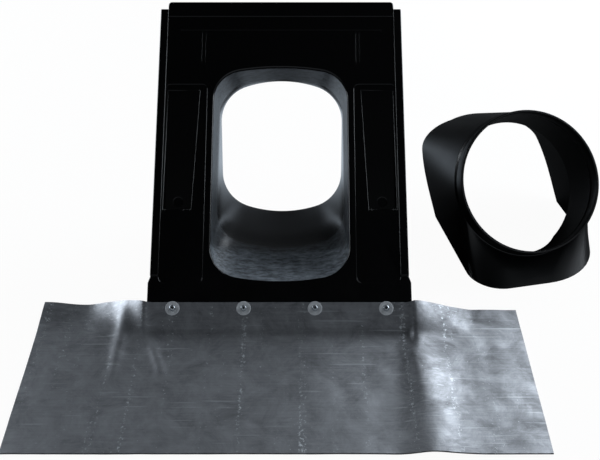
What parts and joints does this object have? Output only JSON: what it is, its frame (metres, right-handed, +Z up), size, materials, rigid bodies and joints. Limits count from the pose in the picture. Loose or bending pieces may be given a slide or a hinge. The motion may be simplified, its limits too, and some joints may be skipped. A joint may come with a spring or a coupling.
{
  "type": "flue roof tile",
  "caption": "Moulded roof tile with a leaning flue cup, a riveted lead apron and a loose collar that adapts to the roof's pitch.",
  "frame": {"origin": "on the floor, at the middle of the apron's flat bed", "axes": "+X across the tile, +Y from the apron's front edge towards the tile's head, +Z up from the floor"},
  "size_m": [0.6499, 0.5323, 0.2553],
  "materials": {
    "tile_plastic": "black moulded plastic, glossy",
    "lead": "rolled sheet lead, dull, scuffed",
    "zinc": "zinc-plated steel",
    "rivet_metal": "plain aluminium",
    "collar_plastic": "black moulded plastic, satin"
  },
  "bodies": {
    "root": {"base_tile": "tile_plastic", "lead_apron": "lead", "rivet_washers": "zinc", "blind_rivets": "rivet_metal", "pitch_collar": "collar_plastic"}
  },
  "joints": []
}
